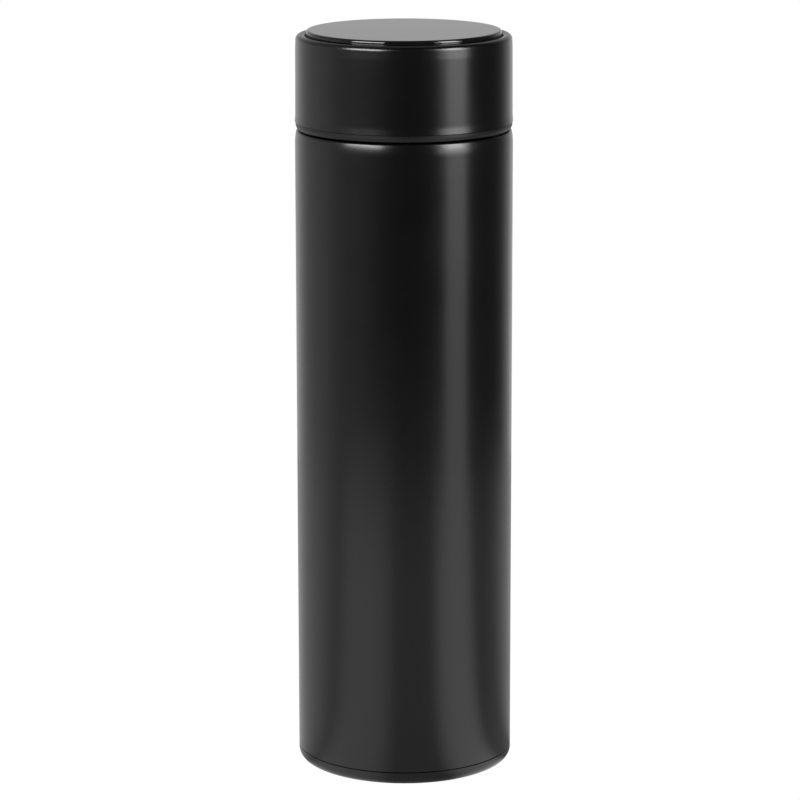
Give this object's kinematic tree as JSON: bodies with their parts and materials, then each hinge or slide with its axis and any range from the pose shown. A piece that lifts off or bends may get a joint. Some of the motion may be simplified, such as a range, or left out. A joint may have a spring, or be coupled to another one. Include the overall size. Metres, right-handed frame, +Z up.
{
  "type": "vacuum flask",
  "caption": "Slim double-walled steel drinking flask with a screw lid, touch thermometer lens and hanging tea strainer.",
  "frame": {"origin": "centre of the foot, on the surface that the flask stands on", "axes": "+Z up along the flask's axis, towards the lid; -Y is the front, where the digits read upright"},
  "size_m": [0.0654, 0.0654, 0.225],
  "materials": {
    "black_coat": "satin black powder coat on steel",
    "bare_steel": "bare stainless steel, satin",
    "lens_black": "glossy black acrylic",
    "black_plastic": "moulded black polypropylene",
    "seal_silicone": "milky food-grade silicone",
    "gasket_silicone": "red silicone",
    "solder_glass": "grey-green glass solder",
    "getter_metal": "sintered getter alloy",
    "white_plastic": "white moulded plastic",
    "led_lamp": "clear lamp with phosphor",
    "board_green": "green solder mask",
    "chip_black": "moulded epoxy with tinned legs",
    "ceramic_parts": "ceramic chips",
    "cell_steel": "nickel-plated steel",
    "contact_brass": "phosphor bronze",
    "spring_steel": "tinned spring steel",
    "screw_steel": "zinc-plated steel",
    "bead_glass": "amber glass",
    "resin": "potting resin",
    "wire_red": "red silicone insulation",
    "tape_black": "black foam tape"
  },
  "bodies": {
    "flask": {"outer_shell": "black_coat", "inner_liner": "bare_steel", "liner_bottom": "bare_steel", "vacuum_plate": "bare_steel", "seal_bead": "solder_glass", "getter_clip": "bare_steel", "getter_pill": "getter_metal", "base_cap": "black_coat"},
    "strainer": {"strainer_cup": "bare_steel", "strainer_floor": "bare_steel"},
    "lid_lift": {"lid_seal": "seal_silicone"},
    "lid": {"lid_shell": "black_coat", "lid_insert": "black_plastic", "electronics_tray": "black_plastic", "sensor_cap": "bare_steel", "sensor_gasket": "gasket_silicone", "sensor_retainer": "black_plastic", "thermistor": "bead_glass", "sensor_potting": "resin", "sensor_wires": "wire_red", "circuit_board": "board_green", "board_screws": "screw_steel", "battery": "cell_steel", "battery_contact": "contact_brass", "battery_clip": "spring_steel", "digit_frame": "white_plastic", "display_leds": "led_lamp", "control_chip": "chip_black", "board_components": "ceramic_parts", "touch_spring": "spring_steel", "lens_tape": "tape_black", "display_lens": "lens_black"}
  },
  "joints": [
    {"name": "strainer_turn", "type": "hinge", "parent": "flask", "child": "strainer", "pos_m": [0, 0, 0.199], "axis": [0, 0, 1], "continuous": true},
    {"name": "lid_rise", "type": "slide", "parent": "flask", "child": "lid_lift", "axis": [0, 0, 1], "range_m": [0, 0.02]},
    {"name": "lid_turn", "type": "hinge", "parent": "lid_lift", "child": "lid", "pos_m": [0, 0, 0.2092], "axis": [0, 0, 1], "range_deg": [0, 1800]}
  ],
  "couplings": [
    {"joint": "lid_rise", "follows": "lid_turn", "m_per_rad": 0.00063662}
  ]
}
